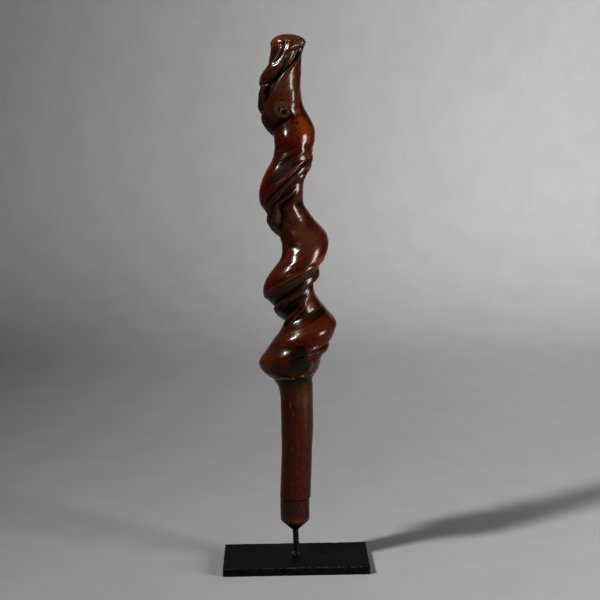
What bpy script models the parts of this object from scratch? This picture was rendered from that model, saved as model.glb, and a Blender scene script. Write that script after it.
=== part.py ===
"""A carved staff, held up by a rod in a plate: a wooden head wound by vine strands, on a straight grip.

Metres, +Z up, +X to the right and -Y to the front. The origin is the middle of the plate's underside.
"""
import math

import bmesh
import bpy
import numpy as np
from mathutils import Matrix

# Driving sizes of the stand
MM = 0.001
PLATE_LENGTH = 0.140
PLATE_DEPTH = 0.070
PLATE_THICKNESS = 0.008
PLATE_EDGE = 0.0010
ROD_DIAMETER = 0.0055
ROD_FOOT_X = 0.0007
ROD_LEAN = math.radians(2.0)
ROD_SIDES = 24
ROD_EDGE = 0.0005
WELD_DIAMETER = 0.0136
WELD_HEIGHT = 0.0080
WELD_RIM = 0.0004
WELD_STEPS = 6
FIT_GAP = 0.0003

# Driving sizes of the staff
STAFF_TIP = 0.035
STAFF_LENGTH = 0.4706
CROWN_RISE = 0.0086
TIP_TAPER = 0.0095
TIP_FACE_RADIUS = 0.0037
TIP_ROUNDING = 1.6
SOCKET_DEPTH = 0.028
STEP_HEIGHT = 32.0
STEP_LENGTH = 1.2
STEP_DROP = 0.6
STEP_SHIFT = 0.5
CHANNEL_WALL = (-0.8, 1.4)
CHANNEL_END = (9.0, 17.0)
LIP_WIDTH = 1.2
LIP_RISE = 0.5
FULL_CHANNEL = 3.0
STRAND_ROUNDNESS = 0.8
STRAND_FLANK = 3.0
STRAND_SINK = 30.0
STRAND_HEAD = (4.0, -6.0)
STRAND_TAIL = (-4.0, 8.0)
BLEND = 0.5

# The solid is lofted from fine rings, then thinned to this many triangles.
RING_SIDES = 120
RING_SPACING = 0.0012
CROWN_RINGS = 10
STAFF_TRIANGLES = 8800

# Rows in millimetres: height above the tip, the middle's sway to the right, how far the section leans out
# to its ridge, and the section's radius.
TRUNK = [
    (0, 0.0, 0, 14.7), (32, 0.1, 0, 14.7), (62, 1.4, 0, 14.7), (78, 2.0, 0, 14.6), (97, 2.6, 0, 15.2),
    (120, 2.6, 0, 15.4), (134, 2.3, 0, 15.6), (142, 2.2, 0.8, 16.6), (150, 3.0, 4.6, 19.5),
    (157, 4.4, 8.2, 26.2), (164, 6.0, 9.9, 28.9), (171, 4.9, 7.8, 28.4), (177, 5.1, 5.8, 28.4),
    (184, 5.7, 5.0, 27.4), (192, 6.3, 7.6, 26.5), (202, 6.0, 9.8, 25.6), (213, 5.6, 8.4, 24.0),
    (219, 6.2, 7.6, 23.8), (226, 4.7, 8.0, 24.9), (233, 4.6, 8.6, 23.9), (243, 3.2, 8.5, 23.0),
    (249, 3.5, 8.4, 22.8), (257, 3.3, 8.3, 21.0), (265, 4.6, 8.1, 20.6), (278, 4.0, 8.0, 22.0),
    (288, 3.2, 7.8, 22.4), (299, 0.6, 7.4, 20.8), (308, -1.2, 7.0, 20.0), (315, -3.6, 6.7, 20.5),
    (323, -3.3, 6.5, 20.8), (336, -4.7, 6.6, 19.7), (345, -4.2, 6.5, 19.6), (358, -2.6, 6.5, 17.8),
    (366, -2.5, 6.3, 17.6), (375, -2.4, 6.0, 19.0), (386, -3.0, 5.7, 19.2), (396, -4.2, 4.8, 18.2),
    (405, -5.2, 3.0, 17.4), (415, -5.6, 1.2, 16.4), (428, -5.8, 0.5, 15.8), (441, -5.0, 0.3, 15.2),
    (453, -3.6, 0.3, 14.6), (464, -2.4, 0, 14.8), (470, -2.4, 0, 14.6),
]
# Rows of height in millimetres and side in degrees (0 right, -90 front). Both lines wind down the head.
RIDGE = [
    (470, 380), (445, 270), (427, 180), (405, 90), (382, 0), (362, -50), (346, -90), (334, -130),
    (323.5, -180), (300, -270), (278, -360), (255, -450), (233, -540), (217, -630), (202, -720), (183, -810),
    (164, -900), (145, -905), (100, -910),
]
CREASE = [
    (470, 350), (456, 318), (445, 298), (434, 268), (427, 248), (420, 222), (412, 180), (389, 90),
    (365, 0), (351, -62), (335, -101), (320, -143), (307, -180), (283, -270), (260, -360), (248, -424),
    (239, -460), (232, -489), (226, -515), (220.5, -540), (204, -630), (190, -720), (181, -780),
    (175, -818), (166, -860), (152, -900), (100, -1000),
]
# Rows of height and of how deep the vine's channel lies below the crease, both in millimetres.
CHANNEL_DEPTH = [
    (100, 0), (150, 0), (171, 0.2), (179, 3), (190, 4), (250, 4), (300, 3.5), (380, 3), (398, 1),
    (412, 0.4), (447, 0.4), (453, 0), (470, 0),
]
# Rows of height, then the place of the trunk's lip and the place, width and depth of its hollow. Places
# are millimetres below the crease, so those above it are negative.
FLANK = [
    (170, -2, -8, 4, 0.8), (205, -2, -8, 4, 0.8), (228, -6.5, -3, 2.6, 1.3), (258, -6.5, -3, 2.6, 1.3),
    (280, -2, -8, 4, 0.6), (318, -2, -8, 4, 0.6), (336, -2, -7.5, 4.2, 1.8), (352, -2, -7.5, 4.2, 1.8),
    (368, -2, -8, 4, 0.5), (400, -2, -8, 4, 0.8),
]
# Each strand: its first and last height, then rows of height, side, half width and its crest's distance
# from the middle.
STRANDS = {
    "topmost": (480, 412, [
        (466, 362, 4, 16.3), (458, 277, 6, 17.6), (449, 250, 7, 18.8), (441, 232, 8, 20.6),
        (434, 210, 8, 22), (427, 180, 8, 22.8), (415, 120, 8, 20),
    ]),
    "upper": (430, 164, [
        (428, 212, 4, 20), (420, 190, 6, 22.8), (406.5, 178, 8, 24.8), (386, 90, 5, 22.5), (358, 0, 4, 22.8),
        (347, -51, 3.8, 23.2), (336, -91, 3.8, 23.4), (319, -138, 4, 23.5), (305.5, -170, 3.8, 22.8),
        (297.5, -190, 4.4, 24.4), (280, -270, 5, 23), (251, -360, 7, 21.9), (243, -420, 6, 22.3),
        (234, -460, 5.5, 22.5), (223, -510, 4.5, 23.2), (216.5, -540, 4.2, 24.2), (210, -575, 4.5, 23.5),
        (199, -630, 5, 25), (181, -720, 4.3, 28.4), (176.5, -765, 4, 28), (172, -820, 4, 27),
    ]),
    "lower": (445, 262, [
        (445, 312, 2.5, 17.5), (431, 266, 3, 18.4), (418, 241, 3.5, 20.5), (401, 206, 4.5, 22.6),
        (394, 180, 7.5, 23.4), (371, 90, 4, 20), (349.5, 0, 4.4, 22.2), (338, -30, 2.6, 17.4),
        (326, -84, 2.5, 18.4), (318, -122, 2.8, 19.6), (299, -165, 4, 21.5), (294, -190, 4.5, 23.0),
        (274, -270, 4, 19.5), (255, -345, 3, 18.5),
    ]),
}


def clear_scene():
    for obj in list(bpy.data.objects):
        bpy.data.objects.remove(obj, do_unlink=True)


def new_collection(name):
    collection = bpy.data.collections.new(name)
    bpy.context.scene.collection.children.link(collection)
    return collection


def move_to(obj, collection):
    for holder in list(obj.users_collection):
        holder.objects.unlink(obj)
    collection.objects.link(obj)


def new_material(name, colour, roughness, metallic):
    material = bpy.data.materials.new(name)
    material.use_nodes = True
    shader = material.node_tree.nodes["Principled BSDF"]
    shader.inputs["Base Color"].default_value = (*colour, 1.0)
    shader.inputs["Roughness"].default_value = roughness
    shader.inputs["Metallic"].default_value = metallic
    return material


def along(rows, height, column=1):
    """A column of the rows, read as a smooth line at the given heights."""
    table = np.array(sorted(rows), float)
    places = table[:, 0]
    values = table[:, column]
    slopes = np.gradient(values, places)
    height = np.clip(height, places[0], places[-1])
    row = np.clip(np.searchsorted(places, height) - 1, 0, len(places) - 2)
    span = places[row + 1] - places[row]
    part = (height - places[row]) / span
    ends = values[row] * (1 + 2 * part) * (1 - part) ** 2 + values[row + 1] * part ** 2 * (3 - 2 * part)
    bends = slopes[row] * part * (1 - part) ** 2 - slopes[row + 1] * part ** 2 * (1 - part)
    return ends + span * bends


def ease(value, start, end):
    """Rises smoothly from 0 at the start to 1 at the end."""
    part = np.clip((value - start) / (end - start), 0, 1)
    return part * part * (3 - 2 * part)


def rounded_max(first, second, blend):
    part = np.clip(0.5 + 0.5 * (first - second) / blend, 0, 1)
    return second * (1 - part) + first * part + blend * part * (1 - part)


def bump(value, place, width):
    return np.exp(-(((value - place) / width) ** 2))


def below_line(rows, height, side, reach):
    """How far a point lies below a winding line, squarely from it, and negative above the line."""
    rate = (along(rows, height + 1) - along(rows, height - 1)) / 2
    away = (side - along(rows, height) + 180) % 360 - 180
    return np.radians(away) * reach / np.hypot(1, np.radians(rate) * reach)


def trunk_reach(height, side):
    """The leaning round section, hollowed under its lip and sunk below the crease where the vine lies."""
    lean = along(TRUNK, height, 2)
    radius = along(TRUNK, height, 3)
    turned = np.radians(side - along(RIDGE, height))
    reach = lean * np.cos(turned) + np.sqrt(radius ** 2 - (lean * np.sin(turned)) ** 2)
    below = below_line(CREASE, height, side, reach)
    depth = along(CHANNEL_DEPTH, height)
    channel = ease(below, *CHANNEL_WALL) * (1 - ease(below, *CHANNEL_END))
    lip = LIP_RISE * bump(below, along(FLANK, height, 1), LIP_WIDTH)
    hollow = along(FLANK, height, 4) * bump(below, along(FLANK, height, 2), along(FLANK, height, 3))
    return reach - depth * channel + (lip - hollow) * np.clip(depth / FULL_CHANNEL, 0, 1)


def strand_reach(first, last, rows, height, side):
    half_width = along(rows, height, 2)
    crest = along(rows, height, 3)
    across = np.abs(below_line(rows, height, side, crest)) / half_width
    round_top = STRAND_ROUNDNESS * (1 - np.sqrt(1 - np.clip(across, 0, 1) ** 2))
    flank = STRAND_FLANK * np.maximum(across - 1, 0)
    head = ease(height, first + STRAND_HEAD[0], first + STRAND_HEAD[1])
    tail = ease(height, last + STRAND_TAIL[0], last + STRAND_TAIL[1])
    return crest - half_width * (round_top + flank) - STRAND_SINK * (1 - head * tail)


def above_step(height):
    """0 on the slightly thinner lower end, 1 on the grip and all above it."""
    return ease(height, STEP_HEIGHT - STEP_LENGTH / 2, STEP_HEIGHT + STEP_LENGTH / 2)


def staff_reach(height, side):
    """The staff's surface: its distance from the swaying middle, in millimetres."""
    reach = trunk_reach(height, side)
    for first, last, rows in STRANDS.values():
        reach = rounded_max(reach, strand_reach(first, last, rows, height, side), BLEND)
    reach = reach - STEP_DROP * (1 - above_step(height))
    slope = (TRUNK[0][3] - STEP_DROP - TIP_FACE_RADIUS / MM) / (TIP_TAPER / MM)
    cone = TIP_FACE_RADIUS / MM + slope * height
    return -rounded_max(-reach, -cone, TIP_ROUNDING)


def staff_middle(height):
    return along(TRUNK, height) - STEP_SHIFT * (1 - above_step(height))


def staff_points():
    """Rings of points from the tip up, each ring the same number of points around."""
    crown_start = STAFF_LENGTH - CROWN_RISE
    straight = np.linspace(0, crown_start, round(crown_start / RING_SPACING))
    bend = np.linspace(0, math.pi / 2, CROWN_RINGS + 1)[1:-1]
    base = np.concatenate([straight, np.full(len(bend), crown_start)])
    rise = np.concatenate([np.zeros(len(straight)), CROWN_RISE * np.sin(bend)])
    shrink = np.concatenate([np.ones(len(straight)), np.cos(bend)])
    side = np.linspace(0, 360, RING_SIDES, endpoint=False)
    heights, sides = np.meshgrid(base / MM, side, indexing="ij")
    reach = staff_reach(heights, sides) * shrink[:, None] * MM
    x = staff_middle(heights) * MM + reach * np.cos(np.radians(sides))
    y = reach * np.sin(np.radians(sides))
    z = STAFF_TIP + (base + rise)[:, None] + np.zeros_like(x)
    return np.stack([x, y, z], axis=-1)


def lofted_mesh(name, rings):
    """A closed tube through the rings, with a flat end below and a fan of faces above."""
    count, around, _ = rings.shape
    bm = bmesh.new()
    points = [[bm.verts.new(point) for point in ring] for ring in rings]
    for lower, upper in zip(points, points[1:]):
        for i in range(around):
            j = (i + 1) % around
            bm.faces.new((lower[i], lower[j], upper[j], upper[i]))
    bm.faces.new(list(reversed(points[0])))
    crown = bm.verts.new(rings[-1].mean(axis=0) + (0, 0, STAFF_TIP + STAFF_LENGTH - rings[-1][0][2]))
    for i in range(around):
        bm.faces.new((points[-1][i], points[-1][(i + 1) % around], crown))
    mesh = bpy.data.meshes.new(name)
    bm.to_mesh(mesh)
    bm.free()
    return mesh


def place_on_rod_axis(obj):
    """Rod and socket share one leaning line, which stands on the plate."""
    obj.location = (ROD_FOOT_X, 0, PLATE_THICKNESS)
    obj.rotation_euler = (0, -ROD_LEAN, 0)


def build_socket_cutter(helpers):
    """The blind hole in the staff's lower end, reaching down to the plate along the rod's line."""
    start = FIT_GAP
    end = STAFF_TIP - PLATE_THICKNESS + SOCKET_DEPTH + FIT_GAP
    bpy.ops.mesh.primitive_cylinder_add(
        vertices=ROD_SIDES, radius=ROD_DIAMETER / 2 + FIT_GAP, depth=end - start
    )
    cutter = bpy.context.object
    cutter.name = "socket_cutter"
    cutter.data.transform(Matrix.Translation((0, 0, (start + end) / 2)))
    place_on_rod_axis(cutter)
    cutter.hide_render = True
    cutter.display_type = "WIRE"
    move_to(cutter, helpers)
    return cutter


def build_staff(parts, cutter):
    rings = staff_points()
    mesh = lofted_mesh("staff", rings)
    staff = bpy.data.objects.new("staff", mesh)
    parts.objects.link(staff)
    mesh.materials.append(new_material("polished_wood", (0.16, 0.045, 0.018), 0.25, 0.0))
    mesh.shade_smooth()
    thinning = staff.modifiers.new("thinning", "DECIMATE")
    thinning.ratio = STAFF_TRIANGLES / (2 * rings.shape[0] * rings.shape[1])
    socket = staff.modifiers.new("socket", "BOOLEAN")
    socket.operation = "DIFFERENCE"
    socket.object = cutter
    return staff


def build_rod(parts):
    """A turned rod, hollowed out to a flared weld at its foot."""
    radius = ROD_DIAMETER / 2
    tilt_gap = math.sin(ROD_LEAN) * WELD_DIAMETER / 2
    foot = FIT_GAP + tilt_gap
    top = STAFF_TIP - PLATE_THICKNESS + SOCKET_DEPTH - FIT_GAP
    profile = [(0, top), (radius - ROD_EDGE, top), (radius, top - ROD_EDGE)]
    for turn in np.linspace(0, math.pi / 2, WELD_STEPS):
        x = WELD_DIAMETER / 2 - (WELD_DIAMETER / 2 - radius) * math.cos(turn)
        z = foot + WELD_RIM + (WELD_HEIGHT - WELD_RIM) * (1 - math.sin(turn))
        profile.append((x, z))
    profile += [(WELD_DIAMETER / 2, foot), (0, foot)]
    mesh = bpy.data.meshes.new("stand_rod")
    edges = [(i, i + 1) for i in range(len(profile) - 1)]
    mesh.from_pydata([(x, 0, z) for x, z in profile], edges, [])
    rod = bpy.data.objects.new("stand_rod", mesh)
    parts.objects.link(rod)
    mesh.materials.append(new_material("black_painted_rod", (0.02, 0.019, 0.018), 0.45, 0.0))
    turn = rod.modifiers.new("turn", "SCREW")
    turn.steps = ROD_SIDES
    turn.render_steps = ROD_SIDES
    turn.use_merge_vertices = True
    turn.merge_threshold = 0.00005
    turn.use_smooth_shade = True
    place_on_rod_axis(rod)
    return rod


def build_plate(parts):
    bpy.ops.mesh.primitive_cube_add(size=1)
    plate = bpy.context.object
    plate.name = "base_plate"
    plate.scale = (PLATE_LENGTH, PLATE_DEPTH, PLATE_THICKNESS)
    bpy.ops.object.transform_apply(location=False, rotation=False, scale=True)
    plate.location = (0, 0, PLATE_THICKNESS / 2)
    plate.data.materials.append(new_material("black_painted_plate", (0.018, 0.018, 0.02), 0.5, 0.0))
    edge = plate.modifiers.new("eased_edges", "BEVEL")
    edge.width = PLATE_EDGE
    edge.segments = 2
    move_to(plate, parts)
    return plate


def main():
    clear_scene()
    parts = new_collection("carved_staff")
    helpers = new_collection("cutters")
    cutter = build_socket_cutter(helpers)
    build_staff(parts, cutter)
    build_rod(parts)
    build_plate(parts)


main()
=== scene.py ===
"""The looks of a carved staff on its stand: fine carving, varnished wood, worn paint, floor and light.

Metres, +Z up, +X to the right and -Y to the front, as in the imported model. The staff's own sizes and
tables are in millimetres and degrees.
"""

import math

import bmesh
import bpy
import numpy as np
from mathutils import Matrix, Vector


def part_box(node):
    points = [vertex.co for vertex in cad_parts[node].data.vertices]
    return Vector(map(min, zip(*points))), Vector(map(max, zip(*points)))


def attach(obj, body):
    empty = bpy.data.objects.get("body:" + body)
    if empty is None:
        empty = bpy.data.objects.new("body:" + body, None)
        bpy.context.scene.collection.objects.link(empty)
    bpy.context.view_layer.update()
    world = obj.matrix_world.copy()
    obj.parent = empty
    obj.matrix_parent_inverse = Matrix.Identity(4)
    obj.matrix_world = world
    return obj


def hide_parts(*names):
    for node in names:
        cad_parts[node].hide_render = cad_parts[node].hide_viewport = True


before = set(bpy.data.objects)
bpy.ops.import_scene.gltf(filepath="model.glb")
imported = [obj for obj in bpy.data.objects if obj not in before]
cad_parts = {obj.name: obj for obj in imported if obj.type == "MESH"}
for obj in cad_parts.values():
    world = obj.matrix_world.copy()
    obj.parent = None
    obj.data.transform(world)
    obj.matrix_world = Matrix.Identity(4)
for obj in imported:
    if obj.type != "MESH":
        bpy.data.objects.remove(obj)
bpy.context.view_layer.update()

MM = 0.001

# Camera, as in the photograph: place in metres, angles in degrees, lens in millimetres on a 36 mm frame
CAMERA_PLACE = (-0.0169, -1.2137, 0.4433)
CAMERA_PAN = 1.113
CAMERA_TILT = 8.634
CAMERA_ROLL = 0.654
CAMERA_LENS = 78.0

PHOTO_EXPOSURE = 0.43
PHOTO_GAMMA = 0.75

# The floor and wall in metres, and how bright the room is as light and as seen
SWEEP_FRONT = -0.5
SWEEP_START = 0.95
SWEEP_LENGTH = 1.2
SWEEP_STEPS = 48
WALL_HEIGHT = 2.6
SWEEP_HALF_WIDTH = 2.6
ROOM_LIGHT = 0.01
ROOM_SEEN = 0.38

# Lamps: name, place, the point it faces, width, height, watts, colour, spread in degrees
LAMPS = [
    ("left_softbox", (-1.58, -0.95, 2.1), (0.6, -0.05, 0.1), 0.2, 0.5, 12, (0.98, 0.987, 1), 60),
    ("right_softbox", (1.55, -0.83, 0.5), (0.4, 0.5, 0.34), 0.6, 0.9, 21.5, (1, 0.97, 0.94), 100),
    ("wall_lamp_high", (0.6, 0.6, 1.9), (0.45, 1.7, 0.35), 0.6, 0.6, 6.8, (1, 1, 1), 90),
    ("wall_lamp_low", (1.4, 0.9, 0.6), (0.5, 1.6, 0.5), 0.5, 0.5, 2.4, (1, 1, 1), 110),
]

# Stand, in metres: the rod, its weld with one drop painted pale as a highlight, and the plate's rounded
# edge and mesh lines
GAP = 0.0003
ROD_RADIUS = 0.00275
ROD_FOOT_X = 0.0007
ROD_LEAN = math.radians(2.0)
ROD_LENGTH = 0.0542
ROD_SIDES = 64
ROD_RINGS = 22
SOCKET_DEPTH = 0.028
SOCKET_CHAMFER = 0.0002
BEAD_RADIUS = 0.0046
WELD_HEIGHT = 0.006
WELD_FOOT = 0.0004
WELD_RINGS = 26
WELD_LUMPS = 0.1035
DROP_BACK = -0.0012
DROP_UP = 0.0022
DROP_SIZE = 0.0026
DROP_RISE = 0.0022
PLATE_EDGE = 0.0009
PLATE_EDGE_LINES = (0, 0.00015, 0.00035, 0.0006, 0.0009, 0.00125, 0.0017, 0.0023)
PLATE_LINE_GAPS = (0.0016, 0.0016, 0.0012)

# Paints: name, colour, roughness, and how strong the noise has to be to show the pale colour, a worn edge
# on the plate and a painted highlight on the rod's weld drop
PLATE_PAINT = ("matt_black_paint", (0.0012, 0.0012, 0.0013), 0.55, 0.45)
ROD_PAINT = ("satin_black_paint", (0.0035, 0.0032, 0.003), 0.42, 0.2)
PAINT_DUST = (0.03, 0.028, 0.026)
# Pale bare metal at the plate's worn edges, also the painted highlight on the rod's weld drop
BARE_METAL_AND_GLINT = (0.055, 0.041, 0.027)
PAPER_TONES = ((0.245, 0.245, 0.248), (0.255, 0.255, 0.258))

# Staff, in millimetres: its lower end stands at TIP_Z and heights count from there
TIP_Z = 35.0
STAFF_LENGTH = 470.6
CROWN_RISE = 8.6
TIP_TAPER = 9.5
TIP_FACE_RADIUS = 3.7
TIP_ROUNDING = 1.6
STEP_HEIGHT = 32.0
STEP_LENGTH = 1.2
STEP_DROP = 0.6
STEP_SHIFT = 0.5
CHANNEL_WALL = (-0.5, 1.2)
CHANNEL_END = (9.0, 17.0)
LIP_WIDTH = 1.2
LIP_RISE = 0.5
RIDGE_WIDTH = 2.0
FULL_CHANNEL = 3.0
STRAND_ROUNDNESS = 0.8
STRAND_FLANK = 3.0
STRAND_SINK = 30.0
STRAND_HEAD = (4.0, -6.0)
STRAND_TAIL = (-4.0, 8.0)
BLEND = 0.35
FACE_SLOPE = [
    (364, 3.0), (376, 1.1), (388, 0.75), (400, 0.5), (420, 0.36), (440, 0.38), (450, 0.7), (459, 3.0),
]
FACE_MIDDLE = (415.0, 40.0)
FACE_FILLET = 6.0

# Rings of the staff's surface: from each height to the next, so far apart
RING_STEPS = [(0.0, 0.6), (12.0, 2.4), (29.0, 0.5), (37.0, 2.4), (128.0, 0.94)]
RING_SIDES = 214
CROWN_RINGS = 14

# Height above the tip, the middle's sway to the right, the section's lean to its ridge, and its radius
TRUNK = [
    (0, 0.0, 0, 14.7), (32, 0.1, 0, 14.7), (62, 1.4, 0, 14.7), (78, 2.0, 0, 14.6), (97, 2.6, 0, 15.2),
    (120, 2.6, 0, 15.4), (134, 2.3, 0, 15.6), (142, 2.2, 0.8, 16.6), (150, 3.0, 4.6, 19.5),
    (157, 4.4, 8.2, 26.2), (164, 6.0, 9.9, 28.9), (171, 4.9, 7.8, 28.4), (177, 5.1, 5.8, 28.4),
    (184, 5.7, 5.0, 27.4), (192, 6.3, 7.6, 26.5), (202, 6.0, 9.8, 25.6), (213, 5.6, 8.4, 24.0),
    (219, 6.2, 7.6, 23.8), (226, 4.7, 8.0, 24.9), (233, 4.6, 8.6, 23.9), (243, 3.2, 8.5, 23.0),
    (249, 3.5, 8.4, 22.8), (257, 3.3, 8.3, 21.0), (265, 4.6, 8.1, 20.6), (278, 4.0, 8.0, 22.0),
    (288, 3.2, 7.8, 22.4), (299, 0.6, 7.4, 20.8), (308, -1.2, 7.0, 20.0), (315, -3.6, 6.7, 20.5),
    (323, -3.3, 6.5, 20.8), (336, -4.7, 6.6, 19.7), (345, -4.2, 6.5, 19.6), (358, -2.6, 6.5, 17.8),
    (366, -2.5, 6.3, 17.6), (375, -2.4, 6.0, 19.0), (386, -3.0, 5.7, 19.2), (396, -4.2, 4.8, 18.2),
    (405, -5.2, 3.0, 17.4), (415, -5.6, 1.2, 16.4), (428, -5.8, 0.5, 15.8), (441, -5.0, 0.3, 15.2),
    (453, -3.6, 0.3, 14.6), (464, -2.4, 0, 14.8), (470, -2.4, 0, 14.6),
]
# Height and side in degrees, 0 right and -90 front. Both lines wind down the head.
RIDGE = [
    (470, 380), (445, 270), (427, 180), (405, 90), (382, 0), (362, -50), (346, -90), (334, -130),
    (323.5, -180), (300, -270), (278, -360), (255, -450), (233, -540), (217, -630), (202, -720),
    (183, -810), (164, -900), (145, -905), (100, -910),
]
CREASE = [
    (470, 350), (456, 318), (445, 298), (434, 268), (427, 248), (420, 222), (412, 180), (389, 90),
    (365, 0), (351, -62), (335, -101), (320, -143), (307, -180), (283, -270), (260, -360), (248, -424),
    (239, -460), (232, -489), (226, -515), (220.5, -540), (204, -630), (190, -720), (181, -780),
    (175, -818), (166, -860), (152, -900), (100, -1000),
]
# Height, and how deep the vine's channel lies below the crease
CHANNEL_DEPTH = [
    (100, 0), (150, 0), (171, 0.2), (179, 3), (190, 4), (250, 4), (300, 3.5), (380, 3), (398, 1),
    (412, 0.4), (447, 0.4), (453, 0), (470, 0),
]
# Height, the place of the trunk's lip, the place, width and depth of its hollow, and the place and
# rise of the ridge above that; places above the crease are negative
FLANK = [
    (170, -2, -8, 4, 0.8, -14, 0), (205, -2, -8, 4, 0.8, -14, 0), (228, -7, -3, 2.6, 1.3, -14, 0),
    (262, -7, -3, 2.6, 1.3, -14, 0), (280, -2, -8, 4, 0.6, -14, 0), (330, -2, -8, 4, 0.8, -14, 0),
    (340, -2, -6, 5.4, 1.4, -13, 0.2), (355, -2, -6, 5.4, 1.2, -13, 0.2), (362, -2, -6, 5, 0.3, -13, 0),
    (400, -2, -8, 4, 0.8, -14, 0),
]
# Each strand's first and last height, then rows of height, side, half width and its crest's distance out
STRANDS = {
    "topmost": (480, 412, [
        (466, 362, 4, 16.3), (458, 277, 6, 17.6), (449, 250, 7, 18.8), (441, 232, 8, 20.6),
        (434, 210, 8, 22), (427, 180, 8, 22.8), (415, 120, 8, 20),
    ]),
    "upper": (430, 164, [
        (428, 212, 4, 20), (420, 190, 6, 22.8), (406.5, 178, 8, 24.8), (386, 90, 5, 22.5),
        (358, 0, 4, 22.8), (347, -51, 3.8, 23.2), (336, -91, 3.8, 23.4), (319, -138, 4, 23.5),
        (305.5, -170, 3.8, 22.8), (297.5, -190, 4.4, 24.4), (280, -270, 5, 23), (251, -360, 7, 21.9),
        (243, -420, 6, 22.3),
        (234, -460, 5.5, 22.5), (223, -510, 4.5, 23.2), (216.5, -540, 4.2, 24.2), (210, -575, 4.5, 23.5),
        (199, -630, 5, 25), (181, -720, 4.3, 28.4), (176.5, -765, 4, 28), (172, -820, 4, 27),
    ]),
    "lower": (459, 262, [
        (457, 332, 2, 15.0), (445, 312, 2.5, 17.0), (431, 266, 3, 18.4), (418, 241, 3.5, 20.5),
        (401, 206, 4.5, 22.6), (394, 180, 7.5, 23.4), (371, 90, 4, 20), (349.5, 0, 4.4, 22.2),
        (338, -30, 2.6, 17.4), (326, -84, 2.5, 18.4), (318, -122, 2.8, 19.6), (299, -165, 4, 21.5),
        (294, -190, 4.5, 23.0), (274, -270, 4, 19.5), (255, -345, 3, 18.5),
    ]),
}

# Places on the staff's surface are height and side. Smooth swellings and dents: place, size up and across,
# tilt to the right in degrees, and how far out
SWELLINGS = [
    ((460, -125), 9, 3, 0, 0.5), ((461, -24), 5, 5, 0, 1.6), ((376, -96), 6, 6, 0, 1.5),
    ((368, -60), 4, 7, 40, 0.7), ((277, -103), 3.0, 8, 15, -0.8), ((287, -94), 4, 4, 0, 0.8),
    ((264, -98), 6, 7, 0, 0.6), ((310, -120), 7, 5, 0, -0.2), ((309, -106), 8, 3.5, 0, 1.3),
    ((446, -36), 4, 2.4, 10, -1.1), ((397, -64), 9, 3, -25, 0.7), ((412, -60), 11, 7, 0, 2.0),
    ((306, -72), 9, 7, 0, 1.4), ((193, -88), 8, 13, 0, -0.9), ((217, -70), 8, 4, 0, 0.8),
    ((213, -112), 4, 7, 30, -0.3), ((176, -94), 10, 8, 0, -0.7), ((168, -55), 6, 7, 0, 0.5),
]
# Narrow ridges and grooves along short lines on the surface: the line, width, how far out
SEAMS = [
    ([(461, -72), (454, -86), (446, -100), (436, -118), (430, -130)], 2.0, 0.7),
    ([(470, -103), (458, -96), (453, -101), (448, -109), (443, -120)], 2.2, -1.1),
    ([(460, -36), (449, -58), (443, -73), (437, -88)], 1.6, -1.5),
    ([(341, -80), (336, -91), (330, -104)], 2.0, 0.6),
    ([(453, -34), (441, -60)], 0.9, 0.6),
    ([(222, -70), (211, -97), (203, -122)], 1.4, 0.8),
]
# Knot in the upper turn, and how far apart its faint rings are
KNOT = (401, -102)
KNOT_RADIUS = 4.8
KNOT_RING_GAP = 1.9

# Rough collar over the grip: its middle height, how much lower it is on its low side, and its groove
COLLAR_HEIGHT = 155.5
COLLAR_RISE = 3.5
COLLAR_LOW_SIDE = -140
COLLAR_WIDTH = 1.3
COLLAR_GROOVE = 2.6

# Where the head begins, where the grip's colours end, and how far round its front stays brighter before its
# sides take a painted shade
HEAD_START = (140, 160)
GRIP_TOP = (138, 152)
FRONT_SIDE = -84
BRIGHT_FRONT = (15, 45)

# Noise cells along an axis, how often the surface is averaged to find its hollows, and carving ripples
NOISE_CELLS = 24
FINE_BLUR = 5
WIDE_BLUR = 60
RIPPLE = 1.9
RIPPLED_HEIGHTS = (245, 18)
UNDERSIDE_RIPPLE = 2.1

# Worn places on the surface, and the ribbed underside of the lowest turn, which also takes a painted shade:
# place, size up and across, tilt
KNOB = ((461, -24), 6, 6)
STUB_END = ((427, -158), 8, 8)
LOBE = ((169, -150), 9, 11)
BARK = ((163, -60), 3.6, 6.5, 35)
UNDERSIDE = ((165, -95), 8, 26)
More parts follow.
